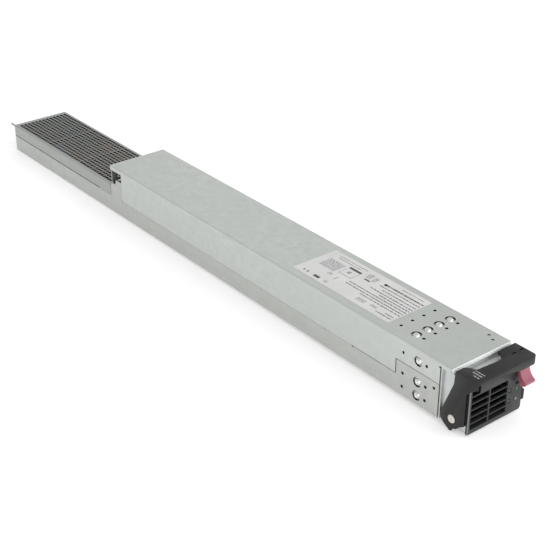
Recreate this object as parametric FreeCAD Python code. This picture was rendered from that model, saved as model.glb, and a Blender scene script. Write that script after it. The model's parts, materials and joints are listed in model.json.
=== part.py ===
import FreeCAD, Part
import math
import os

from FreeCAD import Vector

# A long hot swap power supply. Millimetres, X across, Y from front to rear, Z up.
# The origin is on the underside, in the middle of the case's front edge.

# Case
case_width = 70.0
case_height = 54.7
case_end = 731.0
sheet = 0.8
bend_radius = 1.2
wall_start = 13.5
body_end = 493.0
roof_end = 514.0
roof_lip = 4.7
front_lip = 3.7
seam_height = 18.7
seam_gap = 0.5
seam_open_end = 118.0
seam_fine_gap = 0.2
step_height = 33.0
step_end = 64.0
step_gap = 0.9
relief_length = 2.6
relief_height = 1.6
corner_notch = 1.5
joint_tab_width = 16.0
joint_tab_reach = 7.0
joint_tab_places = (100.0, 190.0, 280.0, 370.0, 460.0)

# Low rear section
rear_height = 32.0
rear_start = 516.0
rear_groove = 0.9
rear_groove_start = 539.0
rear_ear_start = 494.0
rear_post_rise = 8.5
rear_post_length = 10.5
rear_post_slant = 1.5
low_wall_end = 515.4
low_wall_rise = 2.8
low_wall_cut_length = 4.4
low_wall_cut_height = 4.0
vent_pitch = 4.9
vent_hole = 3.8
vents_joined = 14
vent_front_border = 4.3
vent_rear_border = 5.0
vent_side_border = 3.4
locating_tab_reach = 8.5
locating_tab_height = 2.6
locating_tab_rise = 0.6
bulkhead_slot_width = 7.0
bulkhead_slot_pitch = 9.5
bulkhead_slots = 6
bulkhead_slot_drop = 8.0
bulkhead_web = 3.0
bulkhead_border = 2.9
bulkhead_shoulder_rise = 3.0
rear_lip_inset = 2.0

# Nose and handle
cheek_thickness = 2.6
cheek_gap = 0.2
nose_start = -16.0
nose_drop = 6.2
nose_flange = 3.0
nose_shoulder = 11.5
bracket_end = 24.0
pivot_y = -2.7
pivot_z = 8.2
pivot_radius = 2.5
pivot_play = 0.05
rivet_head_radius = 3.9
rivet_head_height = 0.9
rivet_head_gap = 0.1
rivet_tail_radius = 3.6
rivet_tail_height = 0.8
cheek_foot_reach = 1.8
cheek_foot_low = 6.8
cheek_foot_high = 16.4
cheek_groove_skin = 0.6
cheek_groove_depth = 3.0
cheek_groove_floor = 9.0
cheek_groove_top = 38.0
bar_front = -27.8
bar_rear = -3.4
bar_thickness = 2.6
bar_lip = 1.9
bar_corner = 6.0
bar_lip_low = 7.7
bar_lip_high = 3.2
bar_lip_taper_start = -4.0
bar_lip_taper_end = 17.0
cheek_front = -16.2
tooth_reach = 12.2
heel_reach = 12.6
pod_width = 11.6
pod_wall = 1.6
rib_thickness = 1.2
rib_depth = 1.6
rib_places = (-22.0, -11.0, 0.0, 11.0)
bar_slot_length = 5.0
bar_slot_width = 1.6
bar_slot_insets = (4.0, 13.0)
bar_slot_y = -13.5

# Bezel
bezel_thickness = 2.2
bezel_top_drop = 8.7
bezel_drop = 1.4
bezel_return = 1.4
bezel_return_depth = 9.0
bezel_corner = 2.4
bezel_edge = 1.0
brow_height = 9.0
brow_rise = 0.7
brow_gap = 0.1
grille_pitch = 6.5
grille_bar = 1.0
grille_bottom = 2.7
grille_left_border = 2.7
grille_right_border = 19.2
grille_post = 1.4
short_slot_width = 9.0
short_slot_height = 8.8
lens_inset = 7.8
lens_heights = (21.9, 11.5)
lens_width = 2.0
lens_height = 2.6
lens_proud = 0.3
lens_length = 9.0
icon_inset = 15.8
icon_heights = (22.4, 12.1)
icon_width = 3.2
icon_height = 4.2
icon_depth = 0.4
indicator_width = 14.0
indicator_height = 26.0
board_thickness = 1.6

# Release latch
latch_width = 11.6
latch_overlap = 2.2
latch_back = -19.4
latch_lip = -28.8
latch_drop = 28.1
latch_gap = 0.6
latch_blade = 1.9
latch_pivot_y = -22.2
latch_pivot_drop = 4.6
latch_pin_radius = 1.25
latch_boss_radius = 1.9
latch_side_gap = 0.5
latch_stem = 2.2
spring_gap = 0.3
spring_width = 4.0
spring_leaf = 0.4
spring_drop = 4.4
spring_pad = 6.0
hook_width = 5.0
hook_reach = 1.8
hook_drop = 14.7
hook_height = 3.0
hook_room = 3.0
latch_recess = 1.2
latch_recess_side = 0.6
latch_recess_below = 0.5

# Grounding contacts
dome_hole_radius = 4.8
dome_radius = 3.6
dome_height = 1.3
dome_shoulder = 2.9
dome_shoulder_share = 0.6
dome_crown = 1.4
finger_width = 7.4
finger_thickness = 0.5
finger_gap = 0.3
finger_root = 3.5
finger_tip = 0.6
small_hole_radius = 1.6
small_hole_play = 0.2
top_dome_y = 57.0
top_dome_places = (-20.0, -6.7, 6.7, 20.0)
top_hole_behind = 18.5
top_hole_ahead = 8.8
side_dome_y = 38.4
side_dome_heights = (9.3, 22.7, 43.1)
side_hole_behind = 17.6
side_hole_ahead = 9.7
roof_small_holes = ((8.2, 18.5), (11.4, 11.1))
wall_small_hole = (19.0, 26.9)

# Label
label_left_border = 9.0
label_right_border = 8.0
label_start = 86.0
label_end = 213.4
label_thickness = 0.15

# Fan
fan_size = 40.0
fan_length = 56.0
fan_start = 22.0
fan_floor = 6.0
fan_duct_wall = 1.2
fan_ring = 4.0
fan_hub_radius = 9.0
fan_stator_length = 12.0
fan_arm_width = 2.4
fan_arm_depth = 6.0
fan_blades = 5
fan_tip_gap = 0.7
fan_blade_thickness = 1.2
fan_blade_pitch = 40.0
fan_blade_rim = 3.0
fan_rotor_length = 19.0
fan_end_gap = 0.4
fan_shaft_radius = 1.5
fan_shaft_play = 0.05
fan_hole_inset = 4.0
fan_hole_radius = 1.9
fan_screw_radius = 1.8
fan_screw_head = 3.2
fan_screw_head_height = 1.8
fan_wall_gap = 1.2
fan_wall_fold = 9.0

# Boards
board_start = 90.0
board_end = 500.0
board_side_gap = 3.2
board_floor = 7.0
standoff_radius = 2.8
standoff_rows = (94.0, 209.0, 322.0, 446.0, 492.0)
standoff_inset = 4.0
screw_head_radius = 2.6
screw_head_height = 1.5
insulator = 0.4
insulator_room = 1.0
rear_board_start = 522.0
rear_board_end = 704.0
rear_board_floor = 5.0
rear_standoff_rows = (530.0, 696.0)

# Parts on the boards
bulk_radius = 14.5
bulk_headroom = 4.3
bulk_gap = 2.0
bulk_rows = (108.0, 139.0)
choke_y = 183.0
choke_outer = 24.0
choke_inner = 10.0
choke_height = 21.0
sink_start = 214.0
sink_end = 316.0
sink_edge = 4.4
sink_base = 3.0
sink_fin = 1.2
sink_fin_reach = 7.6
sink_fins = 6
sink_headroom = 7.3
transistor_rows = (224.0, 242.0, 260.0, 278.0, 296.0)
transistor_size = (4.8, 15.6, 20.6)
transistor_lift = 6.0
transformer_rows = (344.0, 394.0)
core_gap = 3.4
core_depth = 20.0
core_headroom = 9.3
core_leg = 5.0
core_plate = 7.0
core_limb_width = 12.0
winding_gap = 0.5
winding_depth = 36.0
output_choke_y = 432.0
output_choke_size = (40.0, 22.0, 22.0)
output_window_size = (20.0, 8.8)
smoothing_radius = 5.0
smoothing_height = 22.0
smoothing_rows = (451.0, 463.0, 475.0, 487.0)
smoothing_places = (-15.0, -3.0, 9.0)
control_edge = 3.6
control_start = 330.0
control_end = 440.0
control_headroom = 9.3
control_strip_front = 2.0
control_strip_back = 1.0
control_strip_height = 5.0
control_strip_inset = 6.0
bus_thickness = 3.0
bus_middle_gap = 2.0
bus_side_gap = 1.0
bus_start = 494.0
bus_floor = 12.6

# Parts in the rear section
filter_rows = (566.0, 606.0)
filter_outer = 13.0
filter_inner = 6.0
filter_height = 12.0
filter_edge = 1.5
film_size = (11.0, 27.0, 17.0)
film_rows = (549.0, 580.0, 618.0)
relay_size = (16.0, 30.0, 17.0)
relay_edge = 1.0
relay_y = 650.0
fuse_radius = 3.2
fuse_lift = 1.5
fuse_length = 32.0
fuse_edge = 1.3
fuse_y = 656.0
fuse_clip = 5.0
fuse_clip_spread = 10.0
connector_room = 5.2
connector_depth = 18.0
connector_floor = 1.0
connector_top = 17.2
connector_proud = 0.6
blade_places = (-23.0, -15.0, -7.0, 7.0, 15.0, 23.0)
blade_slot_width = 2.4
blade_slot_height = 11.0
blade_thickness = 0.6
blade_recess = 1.5
signal_rows = 2
signal_columns = 3
signal_pitch = 3.0
signal_pin = 0.6
signal_hole = 1.0
signal_depth = 10.0
blade_depth = 12.0

# Places that follow from the sizes above
half = case_width / 2
inner = half - sheet
roof_under = case_height - sheet
seam_top = seam_height + seam_gap
low_wall_top = rear_height + low_wall_rise
vent_columns = int((case_end - rear_start - vent_front_border - vent_rear_border
                    + vent_pitch - vent_hole) / vent_pitch)
vent_rows = int((case_width - 2 * vent_side_border + vent_pitch - vent_hole) / vent_pitch)
nose_half = half - cheek_thickness - cheek_gap
nose_top = case_height - nose_drop
cheek_inner = half - cheek_thickness
pod_left = cheek_inner - pod_width
bar_under = case_height - bar_thickness
pod_bottom = case_height - bar_lip_low
pod_rear = latch_back + latch_side_gap
bezel_front = nose_start - bezel_thickness
bezel_top = case_height - bezel_top_drop
brow_bottom = bezel_top - brow_height
grille_left = grille_left_border - nose_half
grille_right = nose_half - grille_right_border
grille_width = (grille_right - grille_left - grille_post) / 2
grille_columns = ((grille_left, grille_left + grille_width),
                  (grille_right - grille_width, grille_right))
grille_rows = int((brow_bottom - grille_bottom) / grille_pitch)
lens_x = nose_half - lens_inset
icon_x = nose_half - icon_inset
latch_right = cheek_inner + latch_overlap
latch_left = latch_right - latch_width
latch_foot = case_height - latch_drop
hook_low = case_height - hook_drop
latch_pivot_z = case_height - latch_pivot_drop
board_top = board_floor + board_thickness
rear_board_top = rear_board_floor + board_thickness
bus_top = bus_floor + bus_thickness
rear_under = rear_height - sheet
connector_half = inner - connector_room
connector_start = case_end + connector_proud - connector_depth
board_half = inner - board_side_gap
standoff_x = board_half - standoff_inset
bulk_x = bulk_radius + bulk_gap / 2
bulk_height = roof_under - bulk_headroom - board_top
sink_x = board_half - sink_edge - sink_fin_reach
sink_height = roof_under - sink_headroom - board_top
control_x = board_half - control_edge
control_height = roof_under - control_headroom - board_top
core_width = 2 * (control_x - control_strip_front - core_gap)
core_height = roof_under - core_headroom - board_top
winding_width = core_width - 2 * core_leg - 2 * winding_gap
winding_height = core_height - 2 * core_plate
bus_outer = board_half - relay_edge - relay_size[0] - bus_side_gap
fan_end = fan_start + fan_length
fan_middle = fan_start + fan_length / 2
fan_centre_z = fan_floor + fan_size / 2
fan_bore = fan_size / 2 - fan_duct_wall
fan_blade_tip = fan_bore - fan_tip_gap
x_axis = Vector(1, 0, 0)
y_axis = Vector(0, 1, 0)
z_axis = Vector(0, 0, 1)


def block(x, y, z):
    """A box between a low and a high limit along each axis."""
    return Part.makeBox(x[1] - x[0], y[1] - y[0], z[1] - z[0], Vector(x[0], y[0], z[0]))


def centred_block(size, centre_x, centre_y, floor):
    """A box of a given size that stands on a floor height."""
    x = (centre_x - size[0] / 2, centre_x + size[0] / 2)
    y = (centre_y - size[1] / 2, centre_y + size[1] / 2)
    return block(x, y, (floor, floor + size[2]))


def rod(x, y, z, axis, radius, length):
    return Part.makeCylinder(radius, length, Vector(x, y, z), axis)


def polygon(x, y, z, axis, radius, sides):
    """A closed polygon about an axis, as wide across its corners as two radii."""
    points = []
    for corner in range(sides + 1):
        turn = math.radians(360 / sides * (corner + 0.5))
        along = radius * math.cos(turn)
        up = radius * math.sin(turn)
        if axis.x:
            points.append(Vector(x, y + along, z + up))
        elif axis.y:
            points.append(Vector(x + along, y, z + up))
        else:
            points.append(Vector(x + along, y + up, z))
    return Part.makePolygon(points)


def prism(x, y, z, axis, radius, length, sides=6):
    return Part.Face(polygon(x, y, z, axis, radius, sides)).extrude(axis * length)


def frustum(place, axis, base, crown, height, sides):
    """A solid with flat sides that narrows from its base to its crown."""
    low = polygon(*place, axis, base, sides)
    high = polygon(*(place + axis * height), axis, crown, sides)
    faces = [Part.Face(low), Part.Face(high)]
    for below, above in zip(low.Edges, high.Edges):
        start, end = [vertex.Point for vertex in below.Vertexes]
        start_above, end_above = [vertex.Point for vertex in above.Vertexes]
        faces.append(Part.Face(Part.makePolygon([start, end, end_above, start_above, start])))
    return Part.makeSolid(Part.makeShell(faces))


def outline(start, steps, place):
    """A flat face. Each step is a corner, or a pair: a point an arc passes and its end."""
    edges = []
    here = start
    for step in list(steps) + [start]:
        if isinstance(step[0], tuple):
            edges.append(Part.Arc(place(here), place(step[0]), place(step[1])).toShape())
            here = step[1]
        else:
            edges.append(Part.LineSegment(place(here), place(step)).toShape())
            here = step
    return Part.Face(Part.Wire(edges))


def side_shape(start, steps, x):
    """An outline in Y and Z, as thick as the two X limits are apart."""
    face = outline(start, steps, lambda p: Vector(x[0], p[0], p[1]))
    return face.extrude(Vector(x[1] - x[0], 0, 0))


def front_shape(start, steps, y):
    """An outline in X and Z, as deep as the two Y limits are apart."""
    face = outline(start, steps, lambda p: Vector(p[0], y[0], p[1]))
    return face.extrude(Vector(0, y[1] - y[0], 0))


def plan_shape(start, steps, z):
    """An outline in X and Y, as high as the two Z limits are apart."""
    face = outline(start, steps, lambda p: Vector(p[0], p[1], z[0]))
    return face.extrude(Vector(0, 0, z[1] - z[0]))


def joined(pieces):
    return pieces[0].multiFuse(pieces[1:]).removeSplitter()


def group(pieces):
    return Part.makeCompound(pieces)


def mirrored(shape):
    return shape.mirror(Vector(0, 0, 0), x_axis)


def long_edges(shape, x, z):
    """The edges that run along Y at a given X and Z, on either side of the middle."""
    found = []
    for edge in shape.Edges:
        low = edge.BoundBox
        level = abs(low.ZMin - z) < 0.01 and abs(low.ZMax - z) < 0.01
        aside = abs(abs(low.XMin) - x) < 0.01 and abs(low.XMax - low.XMin) < 0.01
        if level and aside and low.YLength > 1:
            found.append(edge)
    return found


def side_contact_holes(heights):
    """Holes through both side walls for the domes, and small ones before and behind them."""
    cuts = []
    for z in heights:
        cuts.append(prism(-half - 1, side_dome_y, z, x_axis, dome_hole_radius, case_width + 2, 16))
        for y in (side_dome_y + side_hole_behind, side_dome_y - side_hole_ahead):
            cuts.append(small_side_hole(y, z))
    return cuts


def small_side_hole(y, z):
    return prism(-half - 1, y, z, x_axis, small_hole_radius, case_width + 2, 8)


def relief_notches():
    """The notches where the roof's lips meet the walls, through the bracket's flanks too."""
    lip_low = case_height - roof_lip
    y = (wall_start - relief_length / 2, wall_start + relief_length / 2)
    z = (lip_low - relief_height / 2, lip_low + relief_height / 2)
    return [block(x, y, z) for x in ((-half - 1, sheet - inner), (inner - sheet, half + 1))]


def base_tray():
    """The case's floor with its low side walls, raised near the front, and joint tabs."""
    pieces = [
        block((-half, half), (wall_start, case_end), (0, sheet)),
        block((-nose_half, nose_half), (nose_start, wall_start), (0, sheet)),
    ]
    for x in ((-half, -inner), (inner, half)):
        pieces.append(block(x, (wall_start, case_end), (0, seam_height)))
        pieces.append(block(x, (wall_start, step_end), (0, step_height)))
        pieces.append(rear_wall(x))
    for x in ((-inner, -inner + sheet), (inner - sheet, inner)):
        for y in joint_tab_places:
            span = (y - joint_tab_width / 2, y + joint_tab_width / 2)
            height = (seam_height - joint_tab_reach, seam_height + joint_tab_reach)
            pieces.append(block(x, span, height))
    pieces.append(block((-half, half), (case_end - sheet, case_end), (0, seam_height)))
    tray = joined(pieces)
    tray = tray.makeFillet(bend_radius, long_edges(tray, half, 0))
    low_domes = [z for z in side_dome_heights if z < step_height]
    cuts = side_contact_holes(low_domes)
    cuts.append(small_side_hole(*wall_small_hole))
    mouth = (-connector_half - finger_gap, connector_half + finger_gap)
    cuts.append(block(mouth, (case_end - sheet - 1, case_end + 1),
                      (connector_floor, connector_top + finger_gap)))
    return tray.cut(cuts)


def rear_wall(x):
    """The base's side wall behind the body: a post at the front, then a lower edge."""
    start = body_end + seam_fine_gap
    post_top = rear_height + rear_post_rise
    return side_shape(
        (start, seam_height - 1),
        [(low_wall_end, seam_height - 1), (low_wall_end, low_wall_top - low_wall_cut_height),
         (low_wall_end - low_wall_cut_length, low_wall_top),
         (start + rear_post_length + rear_post_slant, low_wall_top),
         (start + rear_post_length, post_top), (start, post_top)],
        x)


def top_cover():
    """The tall roof with its side walls and bent lips, open over the nose and at the rear."""
    lip_low = case_height - roof_lip
    pieces = [block((-half, half), (0, roof_end), (roof_under, case_height))]
    for x in ((-half, -inner), (inner, half)):
        pieces.append(block(x, (0, roof_end), (lip_low, case_height)))
        pieces.append(block(x, (step_end + step_gap, body_end), (seam_top, case_height)))
        pieces.append(block(x, (seam_open_end, body_end),
                            (seam_height + seam_fine_gap, case_height)))
        pieces.append(block(x, (wall_start, body_end), (step_height + seam_gap, case_height)))
    pieces.append(block((-half, half), (0, sheet), (case_height - front_lip, case_height)))
    cover = joined(pieces)
    cover = cover.makeFillet(bend_radius, long_edges(cover, half, case_height))
    cover = cover.makeFillet(bend_radius, front_roof_edge(cover))
    cover = joined([cover, block((rear_lip_inset - half, half - rear_lip_inset),
                                 (roof_end - sheet, roof_end), (lip_low, case_height))])
    cuts = side_contact_holes([z for z in side_dome_heights if z > step_height])
    cuts += relief_notches()
    for x in ((-half - 1, -inner), (inner, half + 1)):
        cuts.append(block(x, (-1, corner_notch),
                          (lip_low - 1, case_height - front_lip + corner_notch / 3)))
    small = list(roof_hole_places())
    for x in top_dome_places:
        cuts.append(prism(x, top_dome_y, roof_under - 1, z_axis, dome_hole_radius, sheet + 2, 16))
        small += [(x, top_dome_y + top_hole_behind), (x, top_dome_y - top_hole_ahead)]
    for x, y in small:
        cuts.append(small_roof_hole(x, y))
    return cover.cut(cuts)


def front_roof_edge(shape):
    """The edge across the front of the roof, where its front lip is bent down."""
    found = []
    for edge in shape.Edges:
        box = edge.BoundBox
        if box.YMax < 0.01 and box.ZMin > case_height - 0.01 and box.XLength > half:
            found.append(edge)
    return found


def roof_hole_places():
    """The two small holes near the roof's right front corner."""
    return [(half - inset, y) for inset, y in roof_small_holes]


def small_roof_hole(x, y):
    """A small hole down through the roof and the bracket's flange below it."""
    return prism(x, y, roof_under - 2 * sheet, z_axis, small_hole_radius, 3 * sheet + 1, 8)


def vent_openings():
    """The perforation: square holes on a grid, joined in groups along the length."""
    cuts = []
    first_y = rear_start + vent_front_border
    for row in range(vent_rows):
        x = (row - (vent_rows - 1) / 2) * vent_pitch
        for first in range(0, vent_columns, vents_joined):
            count = min(vents_joined, vent_columns - first)
            y = first_y + first * vent_pitch
            cuts.append(block((x - vent_hole / 2, x + vent_hole / 2),
                              (y, y + (count - 1) * vent_pitch + vent_hole),
                              (rear_under - 1, rear_height + 1)))
    return cuts


def rear_cover():
    """The low perforated roof of the rear section, with ears that reach into the body."""
    pieces = [block((-half, half), (rear_start, case_end), (rear_under, rear_height))]
    ear_end = rear_start + 2 * sheet
    for side in (-1, 1):
        wall = sorted((side * half, side * inner))
        ear = sorted((side * inner, side * (inner - sheet)))
        pieces.append(block(wall, (rear_start, case_end),
                            (seam_height + rear_groove, rear_height)))
        pieces.append(block(wall, (rear_start, rear_groove_start),
                            (seam_height + seam_fine_gap, rear_height)))
        pieces.append(block(ear, (rear_ear_start, ear_end), (seam_top, rear_height)))
    pieces.append(block((-half, half), (case_end - sheet, case_end), (seam_top, rear_height)))
    cover = joined(pieces)
    cover = cover.makeFillet(bend_radius, long_edges(cover, half, rear_height))
    tab_top = rear_height + locating_tab_rise
    tab = side_shape(
        (case_end - sheet, tab_top - locating_tab_height),
        [(case_end + locating_tab_reach, tab_top - locating_tab_height),
         (case_end + locating_tab_reach, tab_top), (case_end, tab_top), (case_end, rear_height),
         (case_end - sheet, rear_height)],
        (-half, -inner))
    return cover.fuse(tab).removeSplitter().cut(vent_openings())


def rear_bulkhead():
    """The slotted wall that closes the tall body above the low rear section."""
    rear = (roof_end - 2 * sheet, roof_end - sheet)
    clear = inner - sheet - finger_gap
    shoulder = rear_height + bulkhead_shoulder_rise
    wall = block((-inner, inner), rear, (shoulder, roof_under))
    foot = block((-clear, clear), rear, (seam_top, shoulder))
    floor = rear_height - bulkhead_slot_drop
    slot_height = (roof_under - bulkhead_border - floor - bulkhead_web) / 2
    cuts = []
    for z in (floor, floor + slot_height + bulkhead_web):
        for column in range(bulkhead_slots):
            x = (column - (bulkhead_slots - 1) / 2) * bulkhead_slot_pitch
            cuts.append(block((x - bulkhead_slot_width / 2, x + bulkhead_slot_width / 2),
                              (rear[0] - 1, rear[1] + 1), (z, z + slot_height)))
    return joined([wall, foot]).cut(cuts)


def front_bracket():
    """The bright nose: a narrow box between the handle's cheeks that widens into the case."""
    pieces = [
        block((-nose_half, nose_half), (nose_start, 2 * sheet), (nose_top - sheet, nose_top)),
        block((-nose_half, nose_half), (sheet, 2 * sheet), (nose_top - sheet, roof_under)),
        block((-inner, inner), (sheet, bracket_end), (roof_under - sheet, roof_under)),
        block((-nose_half, nose_half), (nose_start, nose_start + sheet),
              (nose_top - nose_flange, nose_top)),
    ]
    for side in (-1, 1):
        skin = sorted((side * nose_half, side * (nose_half - sheet)))
        shoulder = sorted((side * inner, side * (nose_half - sheet)))
        flank = sorted((side * inner, side * (inner - sheet)))
        pieces.append(block(skin, (nose_start, 2 * sheet), (sheet, nose_top)))
        pieces.append(block(skin, (sheet, nose_shoulder + sheet), (sheet, roof_under)))
        pieces.append(block(shoulder, (nose_shoulder, nose_shoulder + sheet),
                            (sheet, roof_under)))
        pieces.append(block(flank, (nose_shoulder, bracket_end), (sheet, roof_under)))
    bracket = joined(pieces)
    pivots = rod(-half, pivot_y, pivot_z, x_axis, pivot_radius, case_width)
    cuts = [pivots, small_side_hole(*wall_small_hole)] + relief_notches()
    cuts += [small_roof_hole(x, y) for x, y in roof_hole_places()]
    return bracket.cut(cuts)


def handle_pivots():
    """Two rivets: a domed head outside the cheek, the shank, and a tail inside the nose."""
    head_inner = half + rivet_head_gap
    reach = head_inner - nose_half + sheet
    shank = rod(nose_half - sheet, pivot_y, pivot_z, x_axis, pivot_radius, reach)
    head = frustum(Vector(head_inner, pivot_y, pivot_z), x_axis, rivet_head_radius,
                   rivet_head_radius - rivet_head_height, rivet_head_height, 16)
    tail = prism(nose_half - sheet - rivet_tail_height, pivot_y, pivot_z, x_axis,
                 rivet_tail_radius, rivet_tail_height)
    rivet = joined([shank, head, tail])
    return group([rivet, mirrored(rivet)])


def handle_side():
    """The handle seen from its side: bar on top, cam tooth and heel about the pivot."""
    top = case_height
    heel = pivot_y + heel_reach
    foot = pivot_z - tooth_reach
    steps = [
        (bar_rear + 0.5, top - 4.2),
        (bar_rear + 1.0, top - 12.5),
        (pivot_y + 5.8, pivot_z + 19.3),
        (heel, pivot_z + 2.4),
        ((heel - 0.1, pivot_z - 3.3), (pivot_y + 8.4, pivot_z - 8.1)),
        (pivot_y + 2.2, foot + 0.5),
        ((pivot_y + 0.9, foot), (pivot_y - 0.1, foot + 0.9)),
        (pivot_y - 0.6, foot + 2.1),
        ((pivot_y - 1.8, foot + 3.9), (pivot_y - 3.2, foot + 4.0)),
        (pivot_y - 5.4, foot + 4.8),
        (pivot_y - 9.7, pivot_z - 3.1),
        (cheek_front, pivot_z - 0.8),
        (cheek_front, top - 16.4),
        ((cheek_front - 4.0, top - 11.9), (bar_front + 1.3, top - bar_lip_low)),
        (bar_front, top - bar_lip_low + 1.0),
        (bar_front, top),
    ]
    return side_shape((bar_rear, top), steps, (-half, half))


def handle_plan():
    """The handle seen from above: a rounded front and a gap for the fingers at the rear."""
    reach = pivot_y + heel_reach + 1
    steps = [
        (-cheek_inner, reach),
        (-cheek_inner, bar_rear),
        (-26.5, bar_rear),
        ((-23.2, bar_rear - 2.4), (-21.2, bar_rear - 6.4)),
        ((-19.8, bar_rear - 8.2), (-17.0, bar_rear - 8.9)),
        (6.0, bar_rear - 10.6),
        ((11.4, bar_rear - 6.2), (13.5, bar_rear)),
        (cheek_inner, bar_rear),
        (cheek_inner, reach),
        (half, reach),
        (half, bar_front + bar_corner * 0.6),
        ((half - 1.1, bar_front + 1.1), (half - bar_corner * 0.6, bar_front)),
        (-half + bar_corner * 0.8, bar_front),
        ((-half + 1.6, bar_front + 1.9), (-half, bar_front + bar_corner)),
    ]
    return plan_shape((-half, reach), steps, (pivot_z - tooth_reach - 1, case_height))


def handle():
    """The ejector lever: two cheeks, a hollow bar with ribs and the pod that holds the latch."""
    body = handle_side().common(handle_plan())
    below = pivot_z - tooth_reach - 1
    hollow = block((-cheek_inner, cheek_inner), (bar_front - 1, heel_reach), (below, bar_under))
    low_lip = case_height - bar_lip_high
    lip = front_shape(
        (-cheek_inner, bar_under + 0.5),
        [(-cheek_inner, low_lip), (bar_lip_taper_start, low_lip),
         (bar_lip_taper_end, pod_bottom), (cheek_inner, pod_bottom),
         (cheek_inner, bar_under + 0.5)],
        (bar_front, bar_front + bar_lip)).common(handle_plan())
    foot = block((cheek_inner, half), (cheek_front - cheek_foot_reach, cheek_front + 1),
                 (cheek_foot_low, cheek_foot_high))
    pieces = [body.cut(hollow), lip, foot]
    for x in (pod_left, cheek_inner - pod_wall):
        pieces.append(block((x, x + pod_wall), (bar_front + 1, pod_rear),
                            (pod_bottom, bar_under + 0.5)))
    for x in rib_places:
        pieces.append(block((x - rib_thickness / 2, x + rib_thickness / 2),
                            (bar_front + 1, latch_back),
                            (bar_under - rib_depth, bar_under + 0.5)))
    lever = joined(pieces)
    cuts = [rod(-half - 1, pivot_y, pivot_z, x_axis, pivot_radius + pivot_play,
                case_width + 2),
            rod(pod_left - 1, latch_pivot_y, latch_pivot_z, x_axis, latch_pin_radius,
                cheek_inner - pod_left + 1)]
    for inset in bar_slot_insets:
        x = half - inset
        cuts.append(block((x - bar_slot_length / 2, x + bar_slot_length / 2),
                          (bar_slot_y - bar_slot_width / 2, bar_slot_y + bar_slot_width / 2),
                          (bar_under - 1, case_height + 1)))
    cuts.append(block((cheek_inner, half + 1), (bar_front - 1, cheek_front),
                      (latch_foot, pod_bottom)))
    cuts.append(block((cheek_groove_skin - half, -cheek_inner - cheek_groove_skin),
                      (cheek_front - 1, cheek_front + cheek_groove_depth),
                      (cheek_groove_floor, cheek_groove_top)))
    return lever.cut(cuts)


def release_latch():
    """The thumb trigger: a concave blade with a lip, a stem to its pin and a hook behind."""
    top = pod_bottom - latch_gap
    front = latch_back - latch_blade
    blade = side_shape(
        (latch_back, top),
        [(latch_back, latch_foot + 9.4), (latch_back - 2.6, latch_foot + 0.6),
         (latch_back - 4.2, latch_foot), (latch_lip + 1.3, latch_foot + 1.6),
         ((latch_lip + 0.2, latch_foot + 3.2), (latch_lip + 0.5, latch_foot + 4.9)),
         ((front - 2.4, latch_foot + 8.6), (front, latch_foot + 15.0)),
         (front, top)],
        (latch_left, latch_right))
    stem_x = (pod_left + pod_wall + latch_side_gap, cheek_inner - pod_wall - latch_side_gap)
    stem_front = latch_pivot_y - latch_stem / 2
    stem = block(stem_x, (stem_front, stem_front + latch_stem), (top - 1, latch_pivot_z))
    heel = block((latch_left, stem_x[1]), (stem_front, latch_back), (top - latch_stem, top))
    boss = rod(stem_x[0], latch_pivot_y, latch_pivot_z, x_axis, latch_boss_radius,
               stem_x[1] - stem_x[0])
    middle = (latch_left + latch_right) / 2
    hook = block((middle - hook_width / 2, middle + hook_width / 2),
                 (latch_back - 0.5, latch_back + hook_reach), (hook_low, hook_low + hook_height))
    bore = rod(pod_left, latch_pivot_y, latch_pivot_z, x_axis,
               latch_pin_radius + pivot_play, case_width)
    return joined([blade, stem, heel, boss, hook]).cut(bore)


def latch_pin():
    length = cheek_inner - pod_left
    return rod(pod_left, latch_pivot_y, latch_pivot_z, x_axis, latch_pin_radius, length)


def latch_spring():
    """A bent leaf that lies under the bar and hangs down just behind the latch's boss."""
    start = latch_pivot_y + latch_boss_radius + spring_gap
    left = (latch_left + latch_right - spring_width) / 2
    wide = (left, left + spring_width)
    leaf = block(wide, (start, start + spring_leaf), (bar_under - spring_drop, bar_under))
    pad = block(wide, (start, start + spring_pad), (bar_under - spring_leaf, bar_under))
    return joined([leaf, pad])


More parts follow.
